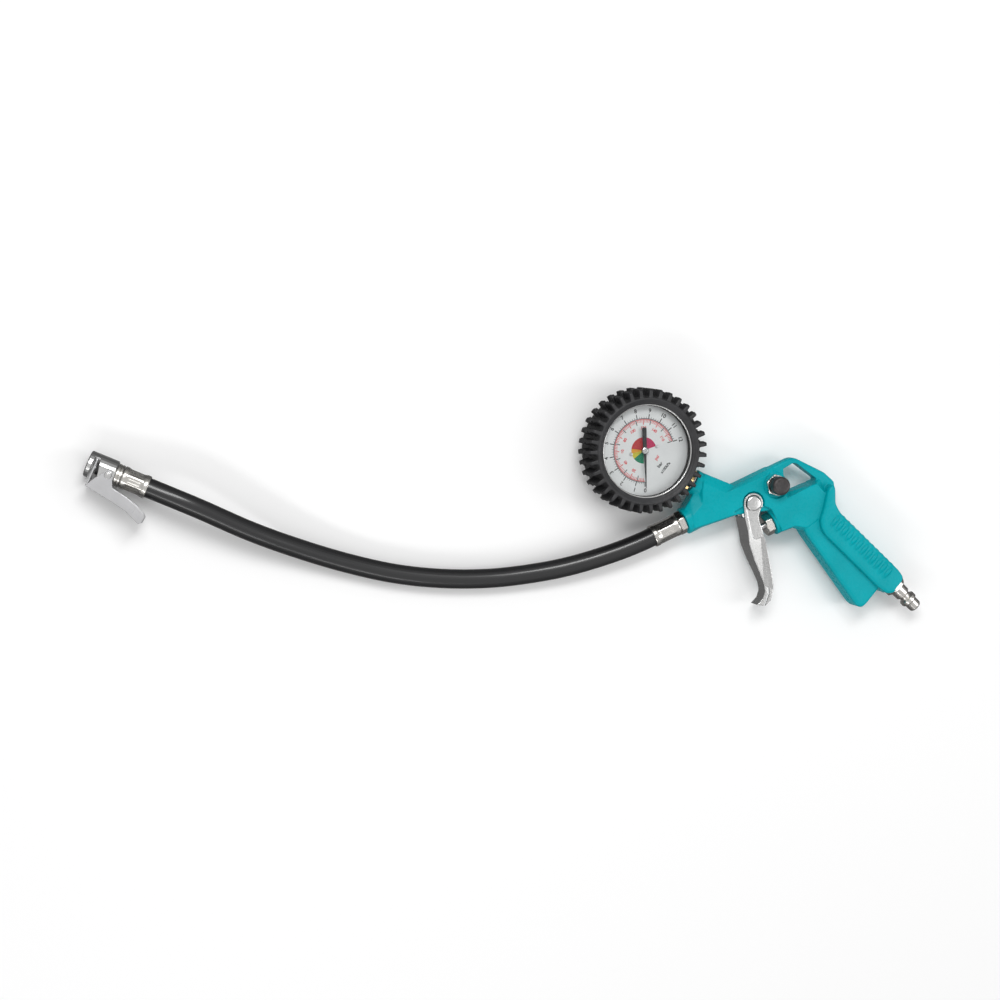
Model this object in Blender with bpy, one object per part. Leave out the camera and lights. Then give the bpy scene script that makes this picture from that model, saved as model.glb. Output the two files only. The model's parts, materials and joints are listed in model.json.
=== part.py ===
"""Hand-held tyre inflator: a die-cast pistol body with a trigger valve, a thumb bleed valve, a dial
gauge in a rubber boot, and a short hose that ends in a clip-on chuck. It lies on its side, dial up.
Plan sizes are in millimetres in the row frame; heights are measured from the gun's middle plane."""
import math

import bmesh
import bpy
from mathutils import Matrix, Vector

MM = 0.001
MID = 13.5  # height of the gun's middle plane above the ground

# ---------------------------------------------------------------- driving dimensions
BARREL_ANGLE = 24.0  # barrel and valve axes, from +X
NOSE = (-49.6, -14.5)  # centre of the barrel's front face
NOSE_R = 9.5
VALVE = (14.6, -17.0)  # centre of the valve housing's front face
VALVE_R = 9.2
BLEED = (14.6, 9.5)  # axis of the bleed valve
PIVOT = (-2.1, -2.6)  # axis of the trigger pin
GRIP_END = (105.1, -61.5)  # where the inlet plug screws in
GRIP_ANGLE = 137.0  # from the inlet up the grip
GAUGE = (-82.4, 35.3)
STEM_ANGLE = -30.0  # gauge stem, from the gauge's centre towards the gun
STEM_FACE = 44.8  # distance from the gauge's centre to the gun's gauge port
CASE_R = 33.0
BOOT_R = 41.8
ROOT_R = 36.6
HOSE_R = 6.5
CHUCK = (-412.6, 16.0, 17.9)  # hose end of the chuck's axis, with its height above the ground
CHUCK_ANGLE = 156.6
CHUCK_TILT = 12.0  # the chuck's mouth rests on the ground, lower than its hose end
CHUCK_R = 8.7
CHUCK_PIVOT = (28.8, 2.3)  # along and across the chuck's axis
GAP = 0.3  # between touching pieces
RIBS = 11  # grooves down the back of the grip
RIB_START = (64.05, -11.8)
RIB_STEP = (3.62, -3.36)
STEM_TIP = -19.2  # front end of the valve stem, along the valve's axis
LUGS = 35  # tread blocks round the boot
HOSE_IN = 8.0  # the hose starts this far behind the barrel's front face
ROUTE = [(-82.6, -28.9, 13.2), (-99.8, -35.0, 12.0), (-124.6, -42.0, 10.0), (-149.2, -46.7, 8.2),
         (-182.6, -49.9, 7.0), (-215.9, -49.2, 6.8), (-248.8, -45.0, 6.9), (-281.7, -36.9, 7.8),
         (-315.0, -26.0, 11.5), (-348.4, -13.0, 17.5), (-381.0, 2.2, 21.6), (-398.2, 9.8, 21.0)]
PINION_TEETH = 14
SECTOR_TEETH = 70
MODULE = 0.4
SECTOR_ANGLE = 95.0  # where the sector's shaft lies, round the gauge's centre
SECTOR_R = MODULE * (PINION_TEETH + SECTOR_TEETH) / 2
POINTER_ZERO = 272.3
POINTER_SWEEP = 257.0
SECTOR_SWEEP = POINTER_SWEEP * PINION_TEETH / SECTOR_TEETH
TAIL = 5.0  # from the sector's shaft to its drop pin
TUBE_R = 20.0
TIP_ANGLE = 50.0
TO_CENTRE = (-0.8, 2.0)  # moves the middle of the gun and gauge over the origin

PAINT = ("teal_paint", (0.0, 0.30, 0.34, 1), 0.35, 0.0)
CHROME = ("chrome_plate", (0.72, 0.72, 0.71, 1), 0.16, 1.0)
NICKEL = ("nickel_plate", (0.62, 0.60, 0.56, 1), 0.24, 1.0)
STEEL = ("bright_steel", (0.55, 0.55, 0.56, 1), 0.3, 1.0)
BRASS = ("brass", (0.70, 0.48, 0.20, 1), 0.3, 1.0)
RUBBER = ("black_rubber", (0.02, 0.02, 0.021, 1), 0.6, 0.0)
PLASTIC = ("black_plastic", (0.025, 0.024, 0.025, 1), 0.45, 0.0)
DIAL = ("dial_face", (0.74, 0.75, 0.76, 1), 0.4, 0.0)
NEEDLE = ("needle_black", (0.03, 0.03, 0.03, 1), 0.4, 0.0)
CLEAR = ("clear_lens", (0.95, 0.97, 0.97, 1), 0.05, 0.0)


# ---------------------------------------------------------------- helpers
def turn(angle):
    """The level direction at an angle in degrees from +X."""
    return Vector((math.cos(math.radians(angle)), math.sin(math.radians(angle)), 0))


def spot(xy, height=0.0):
    """A point over the plan point xy, at a height from the gun's middle plane."""
    return Vector((xy[0], xy[1], MID + height))


def material(spec):
    name, colour, roughness, metallic = spec
    made = bpy.data.materials.get(name)
    if made is None:
        made = bpy.data.materials.new(name)
        made.use_nodes = True
        shader = made.node_tree.nodes["Principled BSDF"]
        shader.inputs["Base Color"].default_value = colour
        shader.inputs["Roughness"].default_value = roughness
        shader.inputs["Metallic"].default_value = metallic
    return made


def keep(name, bm, spec=None, origin=None):
    """Turn a bmesh in millimetres into an object in metres, with its origin at a point in mm."""
    start = origin if origin is not None else Vector((0, 0, 0))
    bmesh.ops.recalc_face_normals(bm, faces=bm.faces)
    bmesh.ops.translate(bm, verts=bm.verts, vec=-start)
    bmesh.ops.scale(bm, verts=bm.verts, vec=(MM, MM, MM))
    mesh = bpy.data.meshes.new(name)
    bm.to_mesh(mesh)
    bm.free()
    ob = bpy.data.objects.new(name, mesh)
    ob.location = start * MM
    bpy.context.collection.objects.link(ob)
    if spec:
        mesh.materials.append(material(spec))
        mesh.shade_smooth()
        mesh.set_sharp_from_angle(angle=math.radians(35))
    return ob


def axes(direction):
    """A right-handed basis whose first axis is the direction."""
    first = direction.normalized()
    helper = Vector((0, 0, 1)) if abs(first.z) < 0.9 else Vector((1, 0, 0))
    second = helper.cross(first).normalized()
    return first, second, first.cross(second)


def lathe_mesh(profile, at, direction, steps=24, ring=False, phase=0.0):
    """Spin (distance along, radius) pairs round an axis; ring joins the profile's ends."""
    first, second, third = axes(direction)
    bm = bmesh.new()
    rows = []
    for along, radius in profile:
        centre = at + first * along
        if radius < 1e-6:
            rows.append([bm.verts.new(centre)])
            continue
        row = []
        for k in range(steps):
            a = math.radians(phase) + 2 * math.pi * k / steps
            row.append(bm.verts.new(centre + (second * math.cos(a) + third * math.sin(a)) * radius))
        rows.append(row)
    pairs = list(zip(rows, rows[1:]))
    if ring:
        pairs.append((rows[-1], rows[0]))
    for low, high in pairs:
        for k in range(steps):
            n = (k + 1) % steps
            face = [low[k % len(low)], low[n % len(low)], high[n % len(high)], high[k % len(high)]]
            face = list(dict.fromkeys(face))
            if len(face) > 2:
                bm.faces.new(face)
    if not ring:
        for row in (rows[0], rows[-1]):
            if len(row) > 1:
                bm.faces.new(row)
    return bm


def lathe(name, profile, at, direction, spec=None, steps=20, ring=False, phase=0.0, origin=None):
    return keep(name, lathe_mesh(profile, at, direction, steps, ring, phase), spec, origin)


def rod(name, radius, start, end, at, direction, spec=None, steps=24, origin=None, phase=0.0):
    return lathe(name, [(start, radius), (end, radius)], at, direction, spec, steps,
                 origin=origin, phase=phase)


def tube(name, inner, outer, start, end, at, direction, spec=None, steps=24):
    profile = [(start, inner), (start, outer), (end, outer), (end, inner)]
    return lathe(name, profile, at, direction, spec, steps, ring=True)


def hexagon(name, across, start, end, at, direction, phase=0.0):
    """A hexagonal bar, with slightly broken ends."""
    corner = across / 2 / math.cos(math.radians(30))
    soft = 0.35
    profile = [(start, corner - soft), (start + soft, corner), (end - soft, corner), (end, corner - soft)]
    return lathe(name, profile, at, direction, steps=6, phase=phase)


def prism(name, outline, low, high, spec=None, bevel=0.0, segments=2):
    """A flat outline in plan, raised between two heights from the middle plane."""
    bm = bmesh.new()
    bm.faces.new([bm.verts.new(spot(xy, low)) for xy in outline])
    raise_face(bm, Vector((0, 0, high - low)))
    bmesh.ops.recalc_face_normals(bm, faces=bm.faces)
    if bevel:
        bmesh.ops.bevel(bm, geom=bm.edges[:], offset=bevel, segments=segments, profile=0.5,
                        affect="EDGES", clamp_overlap=True)
    return keep(name, bm, spec)


def raise_face(bm, way):
    """Turn a bmesh's only face into a solid by drawing it out along a vector."""
    raised = bmesh.ops.extrude_face_region(bm, geom=bm.faces[:])
    moved = [v for v in raised["geom"] if isinstance(v, bmesh.types.BMVert)]
    bmesh.ops.translate(bm, verts=moved, vec=way)


def chamfered(name, corners, edge, face):
    """A slab from matched outlines (x, y at its waist, x, y on its faces): waist half-height, then face."""
    bm = bmesh.new()
    rows = []
    for height, first in ((-face, 2), (-edge, 0), (edge, 0), (face, 2)):
        rows.append([bm.verts.new(spot(corner[first:first + 2], height)) for corner in corners])
    for low, high in zip(rows, rows[1:]):
        for k in range(len(corners)):
            n = (k + 1) % len(corners)
            bm.faces.new([low[k], low[n], high[n]])
            bm.faces.new([low[k], high[n], high[k]])
    bm.faces.new(rows[0])
    bm.faces.new(rows[-1])
    return keep(name, bm)


def boolean(ob, others, operation):
    """Apply a Boolean with each other object in turn, then remove those objects."""
    for other in others:
        change = ob.modifiers.new(operation.title(), "BOOLEAN")
        change.operation = operation
        change.solver = "EXACT"
        change.object = other
        graph = bpy.context.evaluated_depsgraph_get()
        made = bpy.data.meshes.new_from_object(ob.evaluated_get(graph))
        ob.modifiers.clear()
        old = ob.data
        ob.data = made
        bpy.data.meshes.remove(old)
        bpy.data.objects.remove(other)
    return ob


def cut(ob, *cutters):
    return boolean(ob, cutters, "DIFFERENCE")


def join(ob, *others):
    return boolean(ob, others, "UNION")


def finish(ob, name, spec, smooth=35):
    ob.name = name
    ob.data.name = name
    ob.data.materials.clear()
    ob.data.materials.append(material(spec))
    ob.data.shade_smooth()
    ob.data.set_sharp_from_angle(angle=math.radians(smooth))
    return ob


def re_origin(ob, point):
    """Move an object's origin to a point in millimetres without moving its shape."""
    shift = point * MM - ob.location
    ob.data.transform(Matrix.Translation(-shift))
    ob.location += shift


def sweep(name, points, half_a, half_b, up, spec, sides=8):
    """A closed bar of oval section along a row of points; up is the section's second axis."""
    bm = bmesh.new()
    rows = []
    for i, here in enumerate(points):
        before = points[max(i - 1, 0)]
        after = points[min(i + 1, len(points) - 1)]
        along = (after - before).normalized()
        side = along.cross(up).normalized()
        top = side.cross(along)
        row = []
        for k in range(sides):
            a = 2 * math.pi * (k + 0.5) / sides
            row.append(bm.verts.new(here + side * half_a * math.cos(a) + top * half_b * math.sin(a)))
        rows.append(row)
    for low, high in zip(rows, rows[1:]):
        for k in range(sides):
            n = (k + 1) % sides
            bm.faces.new([low[k], low[n], high[n], high[k]])
    bm.faces.new(rows[0])
    bm.faces.new(rows[-1])
    return keep(name, bm, spec)


def coil(name, mean, wire, start, end, turns, at, direction, spec, per_turn=10):
    """A helical compression spring of round wire."""
    first, second, third = axes(direction)
    points = []
    count = int(turns * per_turn)
    for i in range(count + 1):
        a = 2 * math.pi * i / per_turn
        along = start + wire / 2 + (end - start - wire) * i / count
        points.append(at + first * along + (second * math.cos(a) + third * math.sin(a)) * mean)
    return sweep(name, points, wire / 2, wire / 2, first, spec, sides=6)


# ---------------------------------------------------------------- gun body
def body_outer():
    """The casting before its holes are drilled."""
    barrel = [(-46.5, -21.2, -44.8, -18.4), (-12, -10.6, -11.6, -8.8), (11.2, -8.4, 10.8, -6.4),
              (18.0, -24.2, 19.4, -22.2), (28.5, -20.8, 28.7, -18.8), (38, -23, 37.4, -20.4),
              (52, -12, 50, -11), (54, 2, 51, 3), (48, 12.5, 44.0, 10.2), (24.6, 3.4, 22.6, 0.4),
              (20, 16.5, 17.6, 13.5), (12, 21.2, 8.6, 16.9), (-14.7, 9.6, -22.0, 5.1),
              (-36.2, 18.3, -39.1, 12.4), (-42.0, 9.5, -39.2, 7.5), (-46.8, 0.3, -39.0, -2.1),
              (-50.8, -6.0, -46.0, -10.0)]
    frame = [(2, 12), (22, 0), (46, 6), (57.5, -2), (60.2, 4), (59.8, 10.4), (52.2, 17), (30.2, 27.6),
             (26.6, 27.4), (0, 16)]
    web = [(30, -8), (37.3, -25), (75, -75.2), (79.3, -77.9), (82.8, -75.4), (94, -62.6), (80, -40),
           (52, -5)]
    grip = [(51.5, 6), (48.2, -8.5), (46.0, -14.5), (46.9, -20.8), (50.2, -26), (90.4, -63.6),
            (97.0, -68.0), (102.6, -67.4), (107.6, -61.4), (109.0, -56.4), (105.4, -51.6), (61.0, -10.4),
            (57.4, -4), (57.2, 6.5), (55.5, 10)]
    ob = chamfered("casting", barrel, 5.2, 9.8)
    parts = [
        prism("frame", frame, -5, 5, bevel=1.8),
        prism("web", web, -9.2, 9.2, bevel=2.2),
        prism("grip", grip, -13.4, 13.4, bevel=6.5, segments=3),
        rod("nose", NOSE_R, 0, 24, spot(NOSE), turn(BARREL_ANGLE), steps=28),
        rod("housing", VALVE_R, 0, 34, spot(VALVE), turn(BARREL_ANGLE), steps=28),
        rod("boss", 8.8, STEM_FACE, STEM_FACE + 20, spot(GAUGE), turn(STEM_ANGLE), steps=24),
        rod("grip_boss", 9.4, -0.6, 12, spot(GRIP_END), turn(GRIP_ANGLE), steps=24),
        rod("bleed_boss", 8.6, -9, 8, spot(BLEED), Vector((0, 0, 1)), steps=24),
    ]
    return join(ob, *parts)


def body_cutters():
    """Every hole, passage and recess in the casting."""
    barrel = turn(BARREL_ANGLE)
    up = Vector((0, 0, 1))
    to_bleed = spot(BLEED) - spot(NOSE)
    meet = 10.8  # along the valve axis, where the cross passage comes in
    chamber_end = 34.0
    to_chamber = spot(BLEED) - (spot(VALVE) + barrel * meet)
    inlet_run = (spot(VALVE) + barrel * 31.6) - spot(GRIP_END)
    window = [(22.2, 3.2), (21.6, 20.2), (28.6, 24), (31.2, 23.6), (45.4, 13.4), (45.6, 11.6), (43.6, 9.6)]
    valve = [(-1, 0), (-1, 6.0), (9, 6.0), (9, 3.4), (13.2, 3.4), (13.2, 5.2), (chamber_end, 5.2),
             (chamber_end, 0)]
    side = barrel.cross(up)
    recess = []
    for k in range(9):
        a = math.radians(-15 + 210 * k / 8)
        recess.append(tuple((Vector(PIVOT).to_3d() + Vector((math.cos(a), math.sin(a), 0)) * 8.2)[:2]))
    recess += [(-16, -8), (-14, -14), (13.5, -14), (9.4, -6)]
    cutters = [
        prism("window", window, -12, 12),
        prism("recess_top", recess, 7.2, 12),
        prism("recess_low", recess, -12, -7.2),
        lathe("valve_bore", valve, spot(VALVE), barrel, steps=24),
        rod("hose_port", 5, -1, 10, spot(NOSE), barrel),
        rod("barrel_passage", 2.5, 4, to_bleed.length, spot(NOSE), to_bleed, steps=16),
        lathe("gauge_port", [(STEM_FACE - 1, 0), (STEM_FACE - 1, 5), (STEM_FACE + 9, 5),
                             (STEM_FACE + 9, 1.8), (STEM_FACE + 28, 1.8), (STEM_FACE + 28, 0)],
              spot(GAUGE), turn(STEM_ANGLE), steps=24),
        rod("inlet_face", 14, -9, -0.4, spot(GRIP_END), turn(GRIP_ANGLE)),
        rod("inlet_port", 5, -3, 10, spot(GRIP_END), turn(GRIP_ANGLE)),
        rod("inlet_passage", 2.5, 4, inlet_run.length, spot(GRIP_END), inlet_run, steps=16),
        rod("bleed_bore", 4.5, -7.5, 12, spot(BLEED), up, steps=24),
        rod("bleed_seat", 9.2, 8, 14, spot(BLEED), up, steps=24),
        rod("cross_passage", 1.5, -1, to_chamber.length, spot(VALVE) + barrel * meet, to_chamber, steps=16),
        rod("pivot_hole", 2.3, -14, 14, spot(PIVOT), up, steps=24),
    ]
    for k in range(RIBS):
        place = spot((RIB_START[0] + RIB_STEP[0] * k, RIB_START[1] + RIB_STEP[1] * k))
        cutters.append(rod("groove", 1.7, -9, 9, place, up, steps=8))
    return cutters


def gun_body():
    ob = cut(body_outer(), *body_cutters())
    return finish(ob, "gun_body", PAINT)


# ---------------------------------------------------------------- trigger and its valve
def trigger_lever():
    """A pressed channel: two ears on the pin, a web in front, a toe that turns forward."""
    ear_r = 7.0
    ear = []
    for k in range(11):
        a = math.radians(-20 + 205 * k / 10)
        ear.append((PIVOT[0] + ear_r * math.cos(a), PIVOT[1] + ear_r * math.sin(a)))
    front = [(-8.4, -12), (-5.9, -22), (-4.6, -31), (-0.9, -40.8), (3.8, -50.6), (7.4, -58.9),
             (8.2, -64), (6.6, -69), (2.6, -73.2)]
    back = [(8.6, -74), (12.9, -69.8), (14.4, -63), (14.2, -56.8), (12.4, -48.2), (9.9, -39.4),
            (7.7, -30.9), (6.3, -25.6), (4.6, -20), (2.9, -15.5), (2.2, -11.6), (3.3, -8.0)]
    inner = [(-20, 20), (-20, -12.6), (-6.4, -12.6), (-4.1, -22.3), (-2.8, -30.6), (0.8, -40.1),
             (5.4, -50), (9.0, -58.7), (9.9, -64.2), (8.1, -69.8), (3.4, -75.5), (30, -90), (30, 20)]
    slit = [(9.9, -61.2), (11.1, -61.0), (11.5, -65.5), (9.6, -71), (7.5, -76), (6.2, -76), (8.6, -70.6),
            (10.5, -65)]
    ob = prism("lever", ear + front + back, -9.4, 9.4)
    cut(ob, prism("inside", inner, -7.8, 7.8), prism("slit", slit, -12, 12),
        rod("pin_hole", 2.28, -12, 12, spot(PIVOT), Vector((0, 0, 1))))
    taper_from, taper_to, narrow = -24.0, -60.0, 0.66
    for v in ob.data.vertices:
        y = v.co.y / MM
        share = min(max((taper_from - y) / (taper_from - taper_to), 0), 1)
        v.co.z = (MID + (v.co.z / MM - MID) * (1 - (1 - narrow) * share)) * MM
    re_origin(ob, spot(PIVOT))
    return finish(ob, "trigger_lever", CHROME)


def trigger_pin():
    up = Vector((0, 0, 1))
    profile = [(-9.95, 0), (-9.95, 1.6), (-9.6, 2.2), (9.7, 2.2), (9.7, 5.2), (10.6, 5.1), (11.2, 4.3),
               (11.4, 0)]
    lathe("trigger_pin", profile, spot(PIVOT), up, CHROME, steps=28)
    tube("trigger_pin_ring", 2.3, 4.2, -10.5, -9.6, spot(PIVOT), up, STEEL, steps=28)


def trigger_valve():
    barrel = turn(BARREL_ANGLE)
    at = spot(VALVE)
    nut = hexagon("nut", 14.0, -6.0, -GAP, at, barrel)
    join(nut, rod("spigot", 5.85, -1.0, 8.6, at, barrel, steps=24))
    cut(nut, lathe("nut_bore", [(-7, 0), (-7, 2.35), (2, 2.35), (2, 4.1), (4.2, 4.1), (4.2, 2.35),
                                (9.5, 2.35), (9.5, 0)], at, barrel, steps=24))
    finish(nut, "valve_gland_nut", NICKEL)
    stem = [(STEM_TIP, 0), (STEM_TIP, 1.6), (STEM_TIP + 0.9, 2.25), (9, 2.25), (9.3, 1.5), (14.4, 1.5),
            (14.5, 4.2), (16.2, 4.2), (16.2, 2.6), (18.5, 2.6), (18.5, 0)]
    lathe("valve_stem", stem, at, barrel, STEEL, steps=24, origin=at)
    ring = [(3.1 + 0.72 * math.cos(math.radians(36 * k)), 3.12 + 0.72 * math.sin(math.radians(36 * k)))
            for k in range(10)]
    lathe("stem_o_ring", ring, at, barrel, RUBBER, steps=24, ring=True)
    tube("valve_seal", 1.6, 4.2, 13.35, 14.35, at, barrel, RUBBER, steps=24)
    coil("valve_spring", 3.6, 0.8, 16.4, 33.7, 6.5, at, barrel, STEEL)


# ---------------------------------------------------------------- bleed valve
def bleed_valve():
    up = Vector((0, 0, 1))
    at = spot(BLEED)
    nut = hexagon("nut", 13.5, 8 + GAP, 11.0, at, up, phase=12)
    join(nut, rod("spigot", 4.35, 0, 9, at, up, steps=28), rod("collar", 3.2, 10.5, 13.4, at, up, steps=28))
    cut(nut, rod("nut_bore", 1.72, -1, 15, at, up, steps=20))
    finish(nut, "bleed_nut", NICKEL)
    stem = [(-3.3, 0), (-3.3, 3.2), (-1.5, 3.2), (-1.4, 1.62), (17.8, 1.62), (17.8, 0)]
    lathe("bleed_stem", stem, at, up, BRASS, steps=24, origin=at)
    tube("bleed_seal", 1.72, 3.2, -1.25, -0.1, at, up, RUBBER, steps=24)
    cap = [(13.5, 5.3), (13.5, 6.0), (13.9, 6.4), (19.0, 6.3), (19.8, 5.6), (20.0, 4.6), (20.0, 0),
           (18.1, 0), (18.1, 5.3)]
    lathe("bleed_cap", cap, at, up, PLASTIC, steps=24, ring=True, origin=at)
    coil("bleed_spring", 4.2, 0.6, 11.2, 17.9, 3.5, at, up, STEEL)


# ---------------------------------------------------------------- inlet plug and hose fitting
def inlet_plug():
    """A quick-release air plug: hexagon, shank, locking groove and tip, bored through."""
    out = -turn(GRIP_ANGLE)
    at = spot(GRIP_END)
    plug = hexagon("plug", 14.0, 2.3, 5.6, at, out, phase=30)
    profile = [(-8.5, 0), (-8.5, 4.85), (2.3, 4.85), (2.5, 5.6), (3, 5.6), (6.5, 5.5), (12.2, 5.3),
               (13.4, 4.0), (15.6, 4.0), (16.6, 5.9), (19.2, 5.9), (20.0, 4.7), (25.4, 4.6), (26.2, 4.0),
               (26.2, 0)]
    join(plug, lathe("shank", profile, at, out, steps=24))
    cut(plug, rod("bore", 2.6, -10, 30, at, out))
    finish(plug, "inlet_plug", NICKEL)
    tube("inlet_seal", 5.05, 7.2, 0.8, 2.1, at, out, RUBBER, steps=28)


def hose_fitting():
    back = -turn(BARREL_ANGLE)
    at = spot(NOSE)
    nut = hexagon("nut", 14.5, GAP, 5.0, at, back, phase=30)
    join(nut, rod("thread", 4.85, -8.5, 1, at, back), rod("nipple", 5.6, 4.5, 7.2, at, back))
    cut(nut, rod("bore", 2.5, -10, 9, at, back, steps=20))
    finish(nut, "hose_fitting", NICKEL)
    ferrule("gun_ferrule", at, back, 5.3, 24.6)


def ferrule(name, at, direction, start, end):
    """A crimped sleeve round the hose, closed down a little at its hose end."""
    inner = HOSE_R + 0.25
    run = 1 if end > start else -1
    stations = [(start, inner), (start, 7.3), (start + 0.6 * run, 7.6), (start + 2.2 * run, 7.6),
                (start + 3.0 * run, 7.2), (end - 3.2 * run, 7.2), (end - 2.4 * run, 7.6),
                (end - 0.5 * run, 7.6), (end, 7.3), (end, inner)]
    lathe(name, stations, at, direction, NICKEL, steps=24, ring=True)


# ---------------------------------------------------------------- hose and chuck
def chuck_axes():
    """The chuck's own directions: out of its mouth, across towards its lever, and up."""
    tilt = math.radians(CHUCK_TILT)
    up = Vector((0, 0, 1))
    out = turn(CHUCK_ANGLE) * math.cos(tilt) - up * math.sin(tilt)
    return out, turn(CHUCK_ANGLE + 90), up * math.cos(tilt) + turn(CHUCK_ANGLE) * math.sin(tilt)


def chuck_point(along, across=0.0, height=0.0):
    """A point given along the chuck's axis, across it towards the lever, and above it."""
    out, side, up = chuck_axes()
    return Vector(CHUCK) + out * along + side * across + up * height


def smooth_path(points, spacing):
    """Points about a given distance apart on a Catmull-Rom curve through the given ones."""
    dense = []
    ends = [points[0] * 2 - points[1]] + points + [points[-1] * 2 - points[-2]]
    for a, b, c, d in zip(ends, ends[1:], ends[2:], ends[3:]):
        for k in range(16):
            t = k / 16
            dense.append(0.5 * ((2 * b) + (c - a) * t + (2 * a - 5 * b + 4 * c - d) * t * t
                                + (3 * b - a - 3 * c + d) * t ** 3))
    dense.append(points[-1])
    total = sum((b - a).length for a, b in zip(dense, dense[1:]))
    count = round(total / spacing)
    picked, run, want = [dense[0]], 0.0, total / count
    for a, b in zip(dense, dense[1:]):
        step = (b - a).length
        while run + step >= want and len(picked) < count:
            picked.append(a.lerp(b, (want - run) / step))
            want += total / count
        run += step
    return picked + [points[-1]]


def hose():
    back = -turn(BARREL_ANGLE)
    near = [spot(NOSE) + back * HOSE_IN, spot(NOSE) + back * 24.6]
    far = [chuck_point(2.8), chuck_point(18)]
    path = smooth_path(near + [Vector(p) for p in ROUTE] + far, 2 * HOSE_R * 2)
    curve = bpy.data.curves.new("hose", "CURVE")
    curve.dimensions = "3D"
    curve.bevel_depth = HOSE_R * MM
    curve.bevel_resolution = 4
    curve.use_fill_caps = True
    spline = curve.splines.new("POLY")
    spline.points.add(len(path) - 1)
    for point, p in zip(spline.points, path):
        point.co = (p.x * MM, p.y * MM, p.z * MM, 1)
    ob = bpy.data.objects.new("hose", curve)
    bpy.context.collection.objects.link(ob)
    curve.materials.append(material(RUBBER))


def chuck_prism(name, outline, low, high):
    """A prism whose outline is given along and across the chuck's axis."""
    bm = bmesh.new()
    bm.faces.new([bm.verts.new(chuck_point(along, across, low)) for along, across in outline])
    raise_face(bm, chuck_axes()[2] * (high - low))
    return keep(name, bm)


def chuck_body():
    """The chuck's shell: open mouth, slot for the jaw, flats and a hollow for the lever."""
    out, _, up = chuck_axes()
    at = chuck_point(0)
    profile = [(24.9, 0), (24.9, 7.7), (25.6, CHUCK_R), (43.4, CHUCK_R), (44.0, CHUCK_R - 0.6), (44.0, 0)]
    ob = lathe("shell", profile, at, out, steps=28)
    bore = [(22, 0), (22, 4.2), (29.5, 4.2), (29.5, 1.6), (33.2, 1.6), (33.2, 5.2), (41.5, 5.2), (42.6, 6.2),
            (46, 6.2), (46, 0)]
    cut(ob, lathe("bore", bore, at, out, steps=28),
        chuck_prism("slot", [(37.0, -5.8), (40.6, -5.8), (41.4, 12), (34.0, 12)], -12, 12),
        chuck_prism("flat_top", [(20, -1.6), (35.6, -1.6), (37.4, 4), (34.2, 12), (20, 12)], 5.9, 12),
        chuck_prism("flat_low", [(20, -1.6), (35.6, -1.6), (37.4, 4), (34.2, 12), (20, 12)], -12, -5.9),
        rod("rivet_hole_top", 1.35, 4.1, 10, chuck_point(*CHUCK_PIVOT), up, steps=14),
        rod("rivet_hole_low", 1.35, -10, -4.1, chuck_point(*CHUCK_PIVOT), up, steps=14))
    finish(ob, "chuck_body", CHROME)


def chuck_tail():
    """The swivel collar that joins the chuck's body to its ferrule."""
    profile = [(18.4, 0), (18.4, 5.4), (20.8, 5.4), (20.8, 7.5), (24.6, 7.5), (24.7, 4.05), (28.5, 4.05),
               (28.5, 0)]
    out = chuck_axes()[0]
    ob = lathe("tail", profile, chuck_point(0), out, steps=24)
    cut(ob, rod("bore", 1.6, 16, 30, chuck_point(0), out, steps=16))
    finish(ob, "chuck_tail", NICKEL)


def chuck_lever():
    """A stamped lever: ears on the rivets, a channel handle, and a forked jaw in the slot."""
    out, _, up = chuck_axes()
    ears = [(31.6, 1.0), (30.6, -0.4), (28.8, -0.9), (27.0, -0.3), (25.6, 3.4), (23.2, 8.6)]
    handle = [(13.2, 10.8), (5, 13.3), (-1.4, 16.4), (-2.8, 18.2), (-2.2, 22.4), (-0.4, 23.8), (4, 21.8),
              (9.8, 19.2), (25, 16.2), (39.9, 13.9), (38.9, 12.6), (36.2, 7.4)]
    outside = ears + handle
    inside = [(12, 8.0), (4, 11.6), (-6, 15.2), (-4, 23.9), (3.7, 20.8), (9.6, 18.2), (24.8, 15.2),
              (38.6, 13.1), (40, 9), (30, -6), (20, -6)]
    ob = chuck_prism("lever", outside, -7.5, 7.5)
    cut(ob, chuck_prism("hollow", inside, -6.5, 6.5))
    join(ob, chuck_prism("jaw", [(38.3, -4.8), (39.3, -4.8), (39.9, 13.6), (38.5, 13.9)], -5.2, 5.2))
    cut(ob, rod("valve_gap", 3.9, 30, 44, chuck_point(0), out, steps=20),
        chuck_prism("fork", [(36, -9), (42, -9), (42, 0), (36, 0)], -3.9, 3.9),
        rod("rivet_hole", 1.35, -10, 10, chuck_point(*CHUCK_PIVOT), up, steps=16))
    re_origin(ob, chuck_point(*CHUCK_PIVOT))
    return finish(ob, "chuck_lever", STEEL)


def chuck_inside():
    out, side, up = chuck_axes()
    at = chuck_point(0)
    for name, sign in (("chuck_rivet_front", 1), ("chuck_rivet_back", -1)):
        profile = [(4.4, 0), (4.4, 1.3), (7.55, 1.3), (7.6, 2.5), (8.2, 2.2), (8.4, 0)]
        lathe(name, profile, chuck_point(*CHUCK_PIVOT), up * sign, CHROME, steps=20)
    seal = [(33.4, 2.0), (33.4, 5.0), (37.6, 5.0), (37.6, 2.9), (36.6, 2.2)]
    lathe("chuck_seal", seal, at, out, RUBBER, steps=24, ring=True)
    pin = [(29.9, 0), (29.9, 1.4), (35.0, 1.4), (36.4, 0.9), (36.6, 0)]
    lathe("chuck_depressor", pin, at, out, BRASS, steps=16)
    coil("chuck_spring", 1.9, 0.5, 8.9, 14.9, 4, chuck_point(25.5), side, STEEL)


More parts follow.
